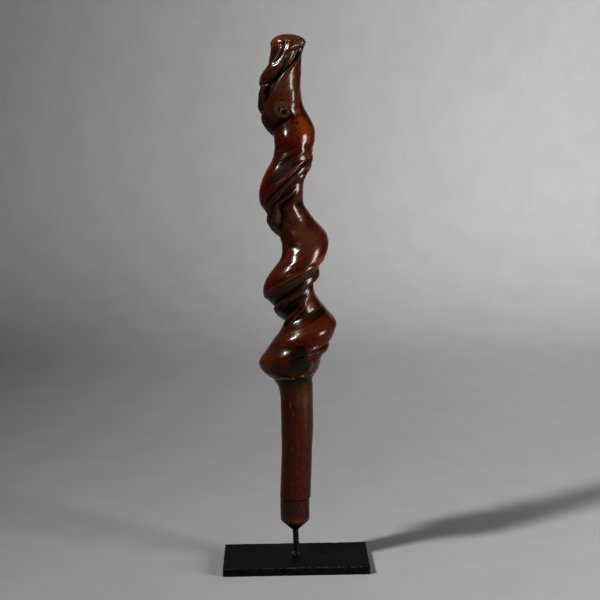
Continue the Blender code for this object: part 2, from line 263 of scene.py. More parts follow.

# Patches of each tone in the wood, some of them partly painted sheen and painted shade: place, size up and
# across, tilt, strength
TONES = {
    "orange": [
        ((383, -44), 14, 15, 30, 0.6), ((350, -158), 14, 9, 0, 1.0), ((204, -74), 13, 18, 0, 0.35),
        ((262, -40), 8, 10, 0, 0.7), ((190, -128), 8, 9, -20, 0.35), ((268, -118), 12, 6, 20, 0.5),
        ((402, -42), 30, 3, 0, 0.5), ((306, -45), 14, 4, 0, 0.5), ((464, -150), 9, 8, 0, 0.5),
        ((440, -165), 8, 5, 0, 0.3), ((72, -86), 46, 3.5, 0, 0.36),
    ],
    "red": [
        ((403, -165), 14, 6, 0, 0.8), ((400, -86), 30, 3, 0, 0.5), ((290, -84), 14, 4, 0, 0.35),
        ((334, -155), 10, 8, 0, 0.7),
    ],
    # Dust, partly a painted sheen where light glances off in a grey-brown haze
    "dust_and_sheen": [
        ((122, -80), 22, 6, 0, 0.5), ((100, -40), 30, 6, 0, 0.4), ((134, -60), 10, 20, 0, 0.5),
        ((268, -70), 12, 10, 0, 0.4), ((300, -112), 8, 6, 0, 0.5), ((418, -86), 20, 10, 25, 1.5),
        ((300, -78), 14, 11, 0, 0.7), ((284, -52), 11, 14, 0, 0.6), ((226, -62), 13, 9, 0, 1.3),
        ((396, -142), 18, 5, 0, 0.7), ((452, -120), 12, 4, 0, 0.6), ((208, -30), 10, 8, 0, 0.2),
        ((330, -40), 8, 6, 0, 0.5), ((450, -84), 13, 7, 35, 0.9), ((425, -160), 4, 9, 0, 0.9),
    ],
    # Dark stain, partly painted shade in valleys, cracks and under overhangs
    "stain_and_shade": [
        ((452, -40), 6, 4, 35, 0.8), ((407, -170), 14, 8, 0, 0.8), ((161, -92), 5, 16, 0, 0.4),
        ((441, -86), 4, 9, 35, 0.5), ((312, -120), 6, 6, 0, 0.45), ((168, -80), 8, 8, 0, 0.6),
        ((180, -91), 7, 8, 0, 1.0), ((170, -96), 9, 7, 0, 0.8), ((446, -34), 6, 3, 10, 1.0),
        ((430, -128), 9, 5, 20, 0.5), ((270, -150), 12, 7, 0, 0.6), ((219, -142), 8, 8, 0, 0.9),
        ((455, -95), 10, 1.5, 0, 0.6), ((207, -22), 13, 8, 0, 0.4), ((304, -120), 8, 6, 0, 0.75),
        ((147, -90), 5, 60, 0, 0.55), ((50, -70), 12, 3, 0, 0.4),
    ],
    "gold": [
        ((215, -106), 5, 8, 35, 0.3), ((126, -114), 5, 1.5, 0, 1.1), ((118, -105), 3.5, 1.3, 0, 1.0),
        ((106, -56), 6, 1.4, 0, 0.9), ((82, -112), 3, 1.1, 0, 0.9), ((66, -72), 3, 1.1, 0, 0.8),
        ((48, -106), 3, 1.2, 0, 0.8), ((361, -42), 6, 4, 30, 0.8), ((170, -152), 6, 8, 0, 0.7),
        ((167, -62), 6, 7, 0, 0.8), ((443, -150), 8, 4, 0, 0.5), ((299, -122), 7, 4, 0, 0.2),
        ((240, -62), 5, 6, 0, 0.6), ((467, -30), 4, 8, 0, 0.5),
    ],
}

# Colours of the wood, painted shade, sheen and reflection among them, in the order in which they cover each
# other
WOOD_COLOURS = {
    "deep": (0.038, 0.0042, 0.0008),
    "middle": (0.054, 0.0064, 0.0012),
    "rubbed": (0.105, 0.021, 0.004),
    # Painted sheen: faces turned up are tinted lighter and browner, as if lit from above
    "top_sheen": (0.052, 0.018, 0.008),
    # Painted shade in the broad hollows
    "hollow_shade": (0.012, 0.0045, 0.0026),
    # Painted shade on the grip's sides, away from its front
    "grip_side_shade": (0.023, 0.0056, 0.0018),
    "spigot": (0.017, 0.0065, 0.0024),
    "tip_rim": (0.12, 0.048, 0.013),
    "step_line": (0.004, 0.0018, 0.0012),
    # Painted shade on the tip's downward cone
    "cone": (0.004, 0.002, 0.0015),
    "orange": (0.125, 0.027, 0.0055),
    # Dust, partly a painted sheen
    "dust_and_sheen": (0.050, 0.0185, 0.0095),
    "dark_strand": (0.020, 0.0065, 0.0035),
    "red": (0.105, 0.009, 0.0013),
    # Painted reflection: a dim grey sheen on the flanks facing down under the lips
    "grey_reflection": (0.021, 0.0155, 0.0125),
    "striped": (0.070, 0.034, 0.011),
    "strand_edge": (0.098, 0.044, 0.013),
    "gold": (0.080, 0.037, 0.012),
    # Dark stain, partly painted shade
    "stain_and_shade": (0.0075, 0.0040, 0.0028),
    # Painted shade under the lowest turn
    "underside": (0.004, 0.0016, 0.001),
    "lobe": (0.10, 0.045, 0.014),
    "mottled": (0.010, 0.003, 0.0015),
    "golden_specks": (0.095, 0.043, 0.013),
    "worn_specks": (0.009, 0.004, 0.0025),
    "dark_specks": (0.010, 0.0035, 0.002),
    "light_specks": (0.085, 0.027, 0.009),
    "light_fibres": (0.09, 0.026, 0.009),
    "knot_rim": (0.10, 0.052, 0.022),
    "worn_top": (0.11, 0.042, 0.009),
    "knob": (0.006, 0.004, 0.003),
    "knot": (0.006, 0.0045, 0.004),
    "bark": (0.15, 0.115, 0.06),
    "chipped": (0.36, 0.25, 0.17),
    "flecks": (0.22, 0.18, 0.14),
    # Painted shade in fine creases and hollows
    "hollow": (0.0025, 0.001, 0.0008),
}


def along(rows, height, column=1):
    """A column of the rows, read as a smooth line at the given heights."""
    table = np.array(sorted(rows), float)
    places = table[:, 0]
    values = table[:, column]
    slopes = np.gradient(values, places)
    height = np.clip(height, places[0], places[-1])
    row = np.clip(np.searchsorted(places, height) - 1, 0, len(places) - 2)
    span = places[row + 1] - places[row]
    part = (height - places[row]) / span
    ends = values[row] * (1 + 2 * part) * (1 - part) ** 2 + values[row + 1] * part ** 2 * (3 - 2 * part)
    bends = slopes[row] * part * (1 - part) ** 2 - slopes[row + 1] * part ** 2 * (1 - part)
    return ends + span * bends


def ease(value, start, end):
    """Rises smoothly from 0 at the start to 1 at the end."""
    part = np.clip((value - start) / (end - start), 0, 1)
    return part * part * (3 - 2 * part)


def rounded_max(first, second, blend):
    part = np.clip(0.5 + 0.5 * (first - second) / blend, 0, 1)
    return second * (1 - part) + first * part + blend * part * (1 - part)


def filled_max(first, second, fillet):
    """The larger of two, with the corner between them filled, and nothing changed away from it."""
    near = np.clip(1 - np.abs(first - second) / fillet, 0, 1)
    return np.maximum(first, second) + fillet / 4 * near**2


def bump(value, place, width):
    return np.exp(-(((value - place) / width) ** 2))


def turned_away(side, line):
    """The shorter way round from a line to a side, in degrees."""
    return (side - line + 180) % 360 - 180


def below_line(rows, height, side, reach):
    """How far a point lies below a winding line, squarely from it, and negative above the line."""
    rate = (along(rows, height + 1) - along(rows, height - 1)) / 2
    away = turned_away(side, along(rows, height))
    return np.radians(away) * reach / np.hypot(1, np.radians(rate) * reach)


def soft_noise(points, size, seed):
    """Smooth noise from -1 to 1, whose bumps are about as wide as the size says, along each axis."""
    lattice = np.random.default_rng(seed).uniform(-1, 1, (NOISE_CELLS,) * 3)
    cells = points / np.asarray(size, float)
    low = np.floor(cells).astype(int)
    part = cells - low
    part = part * part * (3 - 2 * part)
    total = 0
    for corner in np.ndindex(2, 2, 2):
        weight = np.prod(np.where(corner, part, 1 - part), axis=-1)
        i, j, k = np.moveaxis((low + corner) % NOISE_CELLS, -1, 0)
        total = total + weight * lattice[i, j, k]
    return total


def rough_noise(points, size, seed):
    """Two sizes of soft noise together."""
    coarse = soft_noise(points, size, seed)
    fine = soft_noise(points, np.asarray(size, float) / 2.3, seed + 1)
    return coarse * 0.65 + fine * 0.35


def patch(height, side, reach, place, tall, wide, tilt=0):
    """1 at a place on the surface, fading out over an oval; the tilt turns the oval to the right."""
    up = height - place[0]
    right = np.radians(turned_away(side, place[1])) * reach
    turn = math.radians(tilt)
    long_way = up * math.cos(turn) + right * math.sin(turn)
    short_way = right * math.cos(turn) - up * math.sin(turn)
    return np.exp(-((long_way / tall) ** 2) - (short_way / wide) ** 2)


def trunk_reach(height, side):
    """The leaning round section, hollowed under its lip and sunk below the crease where the vine lies."""
    lean = along(TRUNK, height, 2)
    radius = along(TRUNK, height, 3)
    turned = np.radians(side - along(RIDGE, height))
    reach = lean * np.cos(turned) + np.sqrt(radius ** 2 - (lean * np.sin(turned)) ** 2)
    below = below_line(CREASE, height, side, reach)
    depth = along(CHANNEL_DEPTH, height)
    channel = ease(below, *CHANNEL_WALL) * (1 - ease(below, *CHANNEL_END))
    lip = LIP_RISE * bump(below, along(FLANK, height, 1), LIP_WIDTH)
    hollow = along(FLANK, height, 4) * bump(below, along(FLANK, height, 2), along(FLANK, height, 3))
    ridge = along(FLANK, height, 6) * bump(below, along(FLANK, height, 5), RIDGE_WIDTH)
    full = np.clip(depth / FULL_CHANNEL, 0, 1)
    return reach - depth * channel + (lip - hollow + ridge) * full, below, full


def strand_reach(first, last, rows, height, side, slope=None):
    """A strand's outside, and the place across it; with a slope its lower side runs out gently."""
    half_width = along(rows, height, 2)
    crest = along(rows, height, 3)
    across = below_line(rows, height, side, crest) / half_width
    aside = np.abs(across)
    round_top = STRAND_ROUNDNESS * (1 - np.sqrt(1 - np.clip(aside, 0, 1) ** 2))
    flank = STRAND_FLANK * np.maximum(aside - 1, 0)
    head = ease(height, first + STRAND_HEAD[0], first + STRAND_HEAD[1])
    tail = ease(height, last + STRAND_TAIL[0], last + STRAND_TAIL[1])
    drop = round_top + flank
    if slope is not None:
        drop = np.where(across > 0, np.minimum(drop, slope * aside), drop)
    return crest - half_width * drop - STRAND_SINK * (1 - head * tail), across


def above_step(height):
    """0 on the slightly thinner lower end, 1 on the grip and all above it."""
    return ease(height, STEP_HEIGHT - STEP_LENGTH / 2, STEP_HEIGHT + STEP_LENGTH / 2)


def staff_form(height, side):
    """The staff's carved form, and what the finish needs to know of each point of it."""
    trunk, below, full = trunk_reach(height, side)
    reach = trunk
    across = np.zeros_like(trunk)
    shares = {}
    for name, (first, last, rows) in STRANDS.items():
        slope = along(FACE_SLOPE, height) if name == "lower" else None
        strand, place = strand_reach(first, last, rows, height, side, slope)
        higher = ease(strand - reach, -BLEND, BLEND)
        shares = {other: share * (1 - higher) for other, share in shares.items()}
        shares[name] = higher
        across = across * (1 - higher) + place * higher
        filled = filled_max(reach, strand, FACE_FILLET)
        soft = (name == "lower") * bump(height, *FACE_MIDDLE) * ease(place, 0, 1)
        reach = rounded_max(reach, strand, BLEND) * (1 - soft) + filled * soft
    reach = reach - STEP_DROP * (1 - above_step(height))
    slope = (TRUNK[0][3] - STEP_DROP - TIP_FACE_RADIUS) / TIP_TAPER
    reach = -rounded_max(-reach, -(TIP_FACE_RADIUS + slope * height), TIP_ROUNDING)
    on_strand = sum(shares.values())
    return reach, {"below": below, "full": full, "on_strand": on_strand, "across": across, **shares}


def staff_middle(height):
    return along(TRUNK, height) - STEP_SHIFT * (1 - above_step(height))


def grain_points(height, side, reach):
    """The surface untwisted, so that noise on it runs along the wood's winding fibres."""
    turned = np.radians(side - along(CREASE, np.maximum(height, HEAD_START[1])))
    return np.stack([reach * np.cos(turned), reach * np.sin(turned), height], axis=-1)


def ring_heights():
    crown_start = STAFF_LENGTH - CROWN_RISE
    ends = [start for start, _ in RING_STEPS[1:]] + [crown_start]
    runs = []
    for (start, gap), end in zip(RING_STEPS, ends):
        runs.append(np.linspace(start, end, round((end - start) / gap), endpoint=False))
    return np.concatenate(runs + [[crown_start]])


def knot_relief(height, side, reach, fine, crumbly):
    """A crumbly sunken eye in faint rings, with a low rim over it that the fibres pass round."""
    up = height - KNOT[0]
    right = np.radians(turned_away(side, KNOT[1])) * reach
    out = np.hypot(up, right) * (1 + 0.18 * fine)
    eye = 1 - ease(out, 0.5 * KNOT_RADIUS, KNOT_RADIUS)
    rings = 0.13 * np.sin(2 * math.pi * out / KNOT_RING_GAP) * bump(out, KNOT_RADIUS + 1.5, 2.5)
    rim = 0.6 * bump(out, KNOT_RADIUS + 2.2, 1.4) * ease(up - right, 1, 6)
    relief = 0.5 * bump(out, 0, 9) + rings + rim - eye * (0.9 + 1.1 * crumbly)
    return relief, eye, bump(out, KNOT_RADIUS + 0.5, 2.0)


def seam(height, side, reach, line, width):
    """1 along a short line on the surface, fading out beside it and past its ends."""
    off = below_line(line, height, side, reach)
    low, high = line[-1][0], line[0][0]
    return bump(off, 0, width) * ease(height, low - 2, low + 2) * (1 - ease(height, high - 2, high + 2))


def staff_relief(height, side, reach, facts):
    """The finer carving and wear, in millimetres out from the form, and masks for the finish."""
    fibres = grain_points(height, side, reach)
    head = ease(height, *HEAD_START)
    lumpy = rough_noise(fibres, (7, 7, 14), 3)
    fine = rough_noise(fibres, (2.6, 2.6, 5), 11)
    crumbly = rough_noise(fibres, (1.9, 1.9, 2.2), 23)
    out = head * (0.30 * lumpy + 0.09 * fine) + (1 - head) * 0.09 * rough_noise(fibres, (5, 5, 60), 5)
    for place, tall, wide, tilt, rise in SWELLINGS:
        out += rise * patch(height, side, reach, place, tall, wide, tilt)
    for line, width, rise in SEAMS:
        out += rise * seam(height, side, reach, line, width)

    bare = facts["full"] * (1 - facts["on_strand"])
    ripple = np.sin(2 * math.pi * (facts["below"] + 0.4 * lumpy) / RIPPLE)
    lip_place = along(FLANK, height, 1)
    flank = ease(facts["below"], lip_place, lip_place + 1.5) * bare
    out += 0.26 * ripple * flank * bump(height, *RIPPLED_HEIGHTS)
    under_lip = bump(facts["below"], -7, 4) * bare
    out += 0.08 * ripple * under_lip * ease(lumpy, -0.3, 0.3)
    strand_lines = np.sin(2 * math.pi * facts["across"] * 1.4) * bump(facts["across"], 0, 1)
    out += (0.09 + 0.08 * lumpy) * strand_lines * facts["on_strand"]

    knot, knot_eye, knot_rim = knot_relief(height, side, reach, fine, crumbly)
    out += knot
    knob = patch(height, side, reach, *KNOB)
    stub_end = patch(height, side, reach, *STUB_END)
    out += np.maximum(knob, stub_end) * 0.9 * crumbly
    lobe = patch(height, side, reach, *LOBE)
    out += lobe * 0.3 * crumbly
    bark = patch(height, side, reach, *BARK) * ease(height, 154, 158)
    out += bark * 0.9 * crumbly
    # The lowest turn's underside: ribbed, and painted in shade by the finish
    underside = patch(height, side, reach, *UNDERSIDE) * ease(height, 152, 157)
    winding = height + 0.1 * np.radians(side) * reach + lumpy
    out += 0.3 * np.sin(2 * math.pi * winding / UNDERSIDE_RIPPLE) * underside

    low_side = np.cos(np.radians(side - COLLAR_LOW_SIDE))
    around = fibres * (1, 1, 0)
    collar = COLLAR_HEIGHT - COLLAR_RISE * low_side + 1.6 * soft_noise(around, (5, 5, 5), 31)
    edge = bump(height, collar, COLLAR_WIDTH)
    ragged = ease(soft_noise(around, (4, 4, 4), 37) + 0.5 * low_side, -0.2, 0.6)
    groove = bump(height, collar - COLLAR_GROOVE, COLLAR_WIDTH)
    out += edge * (0.3 + 0.7 * ragged * (0.6 + crumbly)) - 0.45 * groove

    worn_top = ease(height, STAFF_LENGTH - CROWN_RISE - 7, STAFF_LENGTH - CROWN_RISE)
    out += worn_top * (0.45 * crumbly + 0.5 * lumpy)
    masks = {
        "knot": knot_eye, "knot_rim": knot_rim, "knob": np.maximum(knob, 0.6 * stub_end),
        "worn_top": worn_top, "chipped": edge * ragged, "bark": bark, "underside": underside, "lobe": lobe,
    }
    return out, masks


def tone_masks(height, side, reach, facts):
    """Where the wood takes each of its other tones and its painted shade, sheen and reflection, from 0 to
    1.
    """
    masks = {}
    for tone, patches in TONES.items():
        shares = [strength * patch(height, side, reach, *rest) for *rest, strength in patches]
        masks[tone] = np.clip(sum(shares), 0, 1)
    below = facts["below"]
    bare = facts["full"] * (1 - facts["on_strand"])
    # Painted reflection on the flanks under the lips of the second and third turns
    second_turn = bump(below, -7.5, 4.2) * bump(height, 347, 11)
    third_turn = bump(below, -3, 4) * bump(height, 247, 16)
    masks["grey_reflection"] = bare * np.clip(second_turn + 0.75 * third_turn, 0, 1)
    masks["striped"] = bare * third_turn * ease(np.sin(2 * math.pi * below / RIPPLE), 0, 0.6)
    masks["spigot"] = 1 - ease(height, STEP_HEIGHT - 1, STEP_HEIGHT + 1)
    masks["tip_rim"] = bump(height, TIP_TAPER, 3.0)
    masks["step_line"] = bump(height, STEP_HEIGHT - 0.4, 0.9)
    # Painted shade on the grip's sides; its front stays brighter
    from_front = np.abs(turned_away(side, FRONT_SIDE))
    masks["grip_side_shade"] = (1 - ease(height, *GRIP_TOP)) * ease(from_front, *BRIGHT_FRONT)
    # Painted shade on the downward cone under the tip
    masks["cone"] = 1 - ease(height, TIP_TAPER - 6, TIP_TAPER - 2)
    # Painted shade: a dark band on the second turn's flank under its ridge
    masks["stain_and_shade"] = np.maximum(masks["stain_and_shade"], bare * bump(below, -12, 3.0) * bump(height, 357, 9))
    lip = bump(below, along(FLANK, height, 1) + 0.5, 1.0) * bare
    masks["gold"] = np.maximum(masks["gold"], 0.9 * lip)
    top_turn = facts["lower"] * ease(height, 380, 392)
    lip_edge = bump(facts["across"], -0.75, 0.25) * ease(height, 415, 425)
    masks["gold"] = np.maximum(masks["gold"], top_turn * lip_edge)
    masks["dark_strand"] = facts["on_strand"] * (1 - top_turn)
    masks["strand_edge"] = masks["dark_strand"] * ease(np.abs(facts["across"]), 0.55, 1.0)
    return masks


def blurred(grid, times):
    """The grid of points averaged with its neighbours, around and along, so many times."""
    for _ in range(times):
        grid = (np.roll(grid, 1, axis=1) + 2 * grid + np.roll(grid, -1, axis=1)) / 4
        inner = (grid[:-2] + 2 * grid[1:-1] + grid[2:]) / 4
        grid = np.concatenate([grid[:1], inner, grid[-1:]])
    return grid


def grid_normals(points):
    along_rings = np.gradient(points, axis=0)
    around = np.roll(points, -1, axis=1) - np.roll(points, 1, axis=1)
    normals = np.cross(around, along_rings)
    return normals / (np.linalg.norm(normals, axis=-1, keepdims=True) + 1e-9)


def staff_surface():
    """Rings of points in metres from the lower end to the crown, and the finish's values at each."""
    straight = ring_heights()
    crown_start = STAFF_LENGTH - CROWN_RISE
    bend = np.linspace(0, math.pi / 2, CROWN_RINGS + 1)[1:-1]
    base = np.concatenate([straight, np.full(len(bend), crown_start)])
    rise = np.concatenate([np.zeros(len(straight)), CROWN_RISE * np.sin(bend)])
    shrink = np.concatenate([np.ones(len(straight)), np.cos(bend)])
    side_angles = np.linspace(0, 360, RING_SIDES, endpoint=False)
    height, side = np.meshgrid(base, side_angles, indexing="ij")
    reach, facts = staff_form(height, side)
    relief, masks = staff_relief(height, side, reach, facts)
    masks.update(tone_masks(height, side, reach, facts))
    reach = (reach + relief) * shrink[:, None]
    x = staff_middle(height) + reach * np.cos(np.radians(side))
    y = reach * np.sin(np.radians(side))
    z = TIP_Z + height + rise[:, None]
    points = np.stack([x, y, z], axis=-1) * MM
    normals = grid_normals(points)
    # How sunken each point is, which places the painted shade in hollows and the wear on crests
    masks["fine_hollow"] = ((blurred(points, FINE_BLUR) - points) * normals).sum(axis=-1) / MM
    masks["wide_hollow"] = ((blurred(points, WIDE_BLUR) - points) * normals).sum(axis=-1) / MM
    # Faces turned up, which take a painted sheen
    masks["top_sheen"] = ease(normals[..., 2], 0.1, 0.6)
    grain = grain_points(height + rise[:, None], side, reach) * MM
    return points, grain, masks


def closed_tube(name, rings, low_middle, high_middle):
    """A mesh through the rings, closed by a fan of faces at each end."""
    count, around, _ = rings.shape
    verts = np.concatenate([rings.reshape(-1, 3), [low_middle, high_middle]])
    faces = []
    for ring in range(count - 1):
        start = ring * around
        for i in range(around):
            j = (i + 1) % around
            faces.append((start + i, start + j, start + around + j, start + around + i))
    last = (count - 1) * around
    for i in range(around):
        j = (i + 1) % around
        faces.append((j, i, count * around))
        faces.append((last + i, last + j, count * around + 1))
    mesh = bpy.data.meshes.new(name)
    mesh.from_pydata(verts.tolist(), [], faces)
    mesh.shade_smooth()
    return mesh


def add_attribute(mesh, name, values):
    """One number, or three, at each point, for the materials to read."""
    kind = "FLOAT_VECTOR" if values.ndim == 2 else "FLOAT"
    attribute = mesh.attributes.new(name, kind, "POINT")
    attribute.data.foreach_set("vector" if values.ndim == 2 else "value", values.astype(np.float32).ravel())


def add_piece(mesh, node, material):
    piece = bpy.data.objects.new(mesh.name, mesh)
    bpy.context.scene.collection.objects.link(piece)
    mesh.materials.append(material)
    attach(piece, "root")
    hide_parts(node)


def rod_line(distance):
    """A point on the rod's leaning line, so far up from the plate."""
    foot = np.array([ROD_FOOT_X, 0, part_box("base_plate")[1].z])
    return foot + np.array([-math.sin(ROD_LEAN), 0, math.cos(ROD_LEAN)]) * distance


def rod_ring(distance, radius, around):
    """A circle of points square to the rod's line."""
    angle = np.linspace(0, 2 * math.pi, around, endpoint=False)[:, None]
    right = np.array([math.cos(ROD_LEAN), 0, math.sin(ROD_LEAN)])
    back = np.array([0, 1, 0])
    return rod_line(distance) + radius * (np.cos(angle) * right + np.sin(angle) * back)


def build_staff():
    """The carved surface, with the blind socket for the rod inside its lower end."""
    points, grain, masks = staff_surface()
    mouth = TIP_Z * MM - rod_line(0)[2]
    bore = ROD_RADIUS + GAP
    end = mouth + SOCKET_DEPTH + GAP
    inner = [rod_ring(height, bore, RING_SIDES) for height in (end, mouth + 2 * SOCKET_CHAMFER)]
    rim = rod_ring(mouth, bore + SOCKET_CHAMFER, RING_SIDES)
    rim[:, 2] = TIP_Z * MM
    rings = np.concatenate([np.array(inner + [rim]), points])
    top = points[-1].mean(axis=0)
    top[2] = (TIP_Z + STAFF_LENGTH) * MM
    mesh = closed_tube("carved_wooden_staff", rings, rod_line(end), top)
    for name, values in masks.items():
        socket = np.full(3 * RING_SIDES, values[0].mean())
        add_attribute(mesh, name, np.concatenate([socket, values.ravel(), values[[0, -1]].mean(axis=1)]))
    ends = [rod_line(end), grain[-1].mean(axis=0)]
    fibres = np.concatenate([rings[:3].reshape(-1, 3), grain.reshape(-1, 3), ends])
    add_attribute(mesh, "grain", fibres)
    add_piece(mesh, "staff", wood_material())


class Nodes:
    """Short ways to add the nodes of one procedural material."""

    def __init__(self, name):
        self.material = bpy.data.materials.new(name)
        self.material.use_nodes = True
        self.tree = self.material.node_tree
        self.shader = self.tree.nodes["Principled BSDF"]

    def add(self, kind, **settings):
        node = self.tree.nodes.new("ShaderNode" + kind)
        for name, value in settings.items():
            setattr(node, name, value)
        return node

    def feed(self, socket, value):
        """Links a socket to another, or sets it to a plain value."""
        if isinstance(value, bpy.types.NodeSocket):
            self.tree.links.new(value, socket)
        elif isinstance(value, tuple) and len(value) == 3 and socket.type == "RGBA":
            socket.default_value = (*value, 1)
        else:
            socket.default_value = value

    def mask(self, name):
        return self.add("Attribute", attribute_name=name).outputs["Fac"]

    def vector(self, name, scale):
        node = self.add("VectorMath", operation="MULTIPLY")
        self.feed(node.inputs[0], self.add("Attribute", attribute_name=name).outputs["Vector"])
        self.feed(node.inputs[1], scale)
        return node.outputs[0]

    def place(self):
        """Where a point is on the object, in metres."""
        return self.add("TexCoord").outputs["Object"]

    def noise(self, vector, scale, detail=4.0, roughness=0.55, distortion=0.0):
        node = self.add("TexNoise")
        self.feed(node.inputs["Vector"], vector)
        self.feed(node.inputs["Scale"], scale)
        self.feed(node.inputs["Detail"], detail)
        self.feed(node.inputs["Roughness"], roughness)
        self.feed(node.inputs["Distortion"], distortion)
        return node.outputs["Fac"]

    def math(self, operation, first, second=0.0):
        node = self.add("Math", operation=operation)
        self.feed(node.inputs[0], first)
        self.feed(node.inputs[1], second)
        return node.outputs[0]

    def times(self, first, second):
        return self.math("MULTIPLY", first, second)

    def larger(self, first, second):
        return self.math("MAXIMUM", first, second)

    def between(self, value, start, end, low=0.0, high=1.0):
        """Goes smoothly from low to high as the value goes from start to end."""
        node = self.add("MapRange", interpolation_type="SMOOTHSTEP")
        given = {"Value": value, "From Min": start, "From Max": end, "To Min": low, "To Max": high}
        for name, number in given.items():
            self.feed(node.inputs[name], number)
        return node.outputs["Result"]

    def mix(self, share, first, second):
        node = self.add("Mix", data_type="RGBA")
        self.feed(node.inputs["Factor"], share)
        self.feed(node.inputs[6], first)
        self.feed(node.inputs[7], second)
        return node.outputs[2]

    def bump(self, height, strength, distance, normal=None):
        node = self.add("Bump")
        self.feed(node.inputs["Height"], height)
        self.feed(node.inputs["Strength"], strength)
        self.feed(node.inputs["Distance"], distance)
        if normal is not None:
            self.feed(node.inputs["Normal"], normal)
        return node.outputs["Normal"]

    def finish(self, **values):
        for name, value in values.items():
            self.feed(self.shader.inputs[name.replace("_", " ")], value)
        return self.material


def wood_layers(n, fibres, streaks, mottle, clouds, specks):
    """How much each of the wood's colours, painted shade, sheen and reflection among them, covers those
    before it.
    """

    def tone(name, noise, ragged=0.8, start=0.25, end=0.7):
        """A mask with its edge broken up by noise."""
        swing = n.times(n.math("SUBTRACT", noise, 0.5), ragged)
        return n.between(n.math("ADD", n.mask(name), swing), start, end)

    def patchy(mask, noise, start, end, low=0.0, high=1.0):
        """A mask that the noise makes weaker in places."""
        return n.times(mask, n.between(noise, start, end, low, high))

    convex = n.between(n.mask("wide_hollow"), -0.9, -2.6)
    worn = n.larger(n.mask("dust_and_sheen"), n.larger(n.mask("lobe"), n.mask("dark_strand")))
    crumbly = n.larger(n.mask("knob"), n.mask("knot"))
    return {
        "rubbed": patchy(convex, clouds, 0.45, 0.65, 0, 0.8),
        # Painted sheen on faces turned up
        "top_sheen": patchy(n.mask("top_sheen"), mottle, 0.3, 0.6, 0, 0.6),
        # Painted shade, darker the deeper the broad hollow
        "hollow_shade": n.between(n.mask("wide_hollow"), -0.7, 0.8, 0, 0.75),
        # Painted shade on the grip's sides
        "grip_side_shade": patchy(n.mask("grip_side_shade"), clouds, 0.3, 0.6, 0.45, 0.8),
        "spigot": patchy(n.mask("spigot"), mottle, 0.38, 0.6, 0.1, 0.9),
        "tip_rim": patchy(n.mask("tip_rim"), specks, 0.42, 0.6, 0, 0.75),
        "step_line": n.times(n.mask("step_line"), 0.8),
        # Painted shade on the tip's downward cone
        "cone": n.times(n.mask("cone"), 0.85),
        "orange": tone("orange", mottle, 1.1),
        # Dust, partly a painted sheen
        "dust_and_sheen": tone("dust_and_sheen", mottle, 1.1, 0.3, 0.9),
        "dark_strand": n.times(n.mask("dark_strand"), 0.6),
        "red": n.times(tone("red", streaks, 0.6), 0.6),
        # Painted reflection on the flanks under the lips
        "grey_reflection": tone("grey_reflection", streaks, 0.5),
        "striped": patchy(n.mask("striped"), streaks, 0.35, 0.6, 0.2, 0.8),
        "strand_edge": patchy(n.mask("strand_edge"), streaks, 0.42, 0.6, 0, 0.8),
        "gold": n.times(tone("gold", streaks, 1.1, 0.45, 0.95), 0.7),
        # Dark stain, partly painted shade
        "stain_and_shade": tone("stain_and_shade", clouds, 0.5, 0.3, 0.75),
        # Painted shade under the lowest turn
        "underside": patchy(n.mask("underside"), streaks, 0.35, 0.55, 0.95, 0.4),
        "lobe": patchy(n.mask("lobe"), specks, 0.45, 0.6, 0, 0.6),
        "mottled": n.between(mottle, 0.5, 0.72, 0, 0.45),
        "golden_specks": patchy(worn, specks, 0.52, 0.62, 0, 0.55),
        "worn_specks": patchy(worn, specks, 0.48, 0.36, 0, 0.6),
        "dark_specks": n.between(specks, 0.52, 0.66, 0, 0.4),
        "light_specks": n.between(specks, 0.44, 0.32, 0, 0.35),
        "light_fibres": n.between(fibres, 0.55, 0.78, 0, 0.2),
        "knot_rim": patchy(n.mask("knot_rim"), specks, 0.4, 0.6, 0.1, 0.7),
        "worn_top": patchy(n.mask("worn_top"), mottle, 0.42, 0.6, 0, 0.6),
        "knob": patchy(n.mask("knob"), mottle, 0.4, 0.6, 0.8, 0),
        "knot": n.times(n.mask("knot"), 0.9),
        "bark": patchy(n.between(n.mask("bark"), 0.1, 0.7), specks, 0.5, 0.62, 0, 0.85),
        "chipped": patchy(n.between(n.mask("chipped"), 0.1, 0.7), specks, 0.5, 0.58),
        "flecks": patchy(crumbly, specks, 0.55, 0.62),
        # Painted shade in fine creases and hollows
        "hollow": n.between(n.mask("fine_hollow"), 0.01, 0.13, 0, 0.85),
    }


def wood_material():
    """Polished wood: noise that runs with the fibres, tones and painted shade, sheen and reflection laid
    over each other, and a thin varnish.
    """
    n = Nodes("varnished_wood")
    fibres = n.noise(n.vector("grain", (1, 1, 0.14)), 900, 5, 0.6, 0.3)
    streaks = n.noise(n.vector("grain", (1, 1, 0.38)), 300, 4, 0.6, 0.6)
    mottle = n.noise(n.vector("grain", (1, 1, 0.6)), 420, 4, 0.6, 0.4)
    clouds = n.noise(n.vector("grain", (1, 1, 0.5)), 85, 3, 0.55, 0.6)
    specks = n.noise(n.vector("grain", (1, 1, 0.7)), 760, 2, 0.6)

    layers = wood_layers(n, fibres, streaks, mottle, clouds, specks)
    colour = n.mix(n.between(streaks, 0.3, 0.7), WOOD_COLOURS["deep"], WOOD_COLOURS["middle"])
    for name, share in layers.items():
        colour = n.mix(share, colour, WOOD_COLOURS[name])

    rough = n.between(streaks, 0.3, 0.7, 0.20, 0.30)
    rough = n.math("ADD", rough, n.times(n.mask("dust_and_sheen"), 0.14))
    rough = n.math("ADD", rough, n.times(n.mask("chipped"), 0.25))
    dents = n.bump(clouds, 0.25, 0.0012)
    pits = n.bump(mottle, 0.22, 0.0004, dents)
    normal = n.bump(fibres, 0.25, 0.0002, pits)
    return n.finish(
        Base_Color=colour, Roughness=rough, Normal=normal, Coat_Weight=0.30, Coat_Roughness=0.15,
        Coat_IOR=1.42, Specular_IOR_Level=0.11
    )


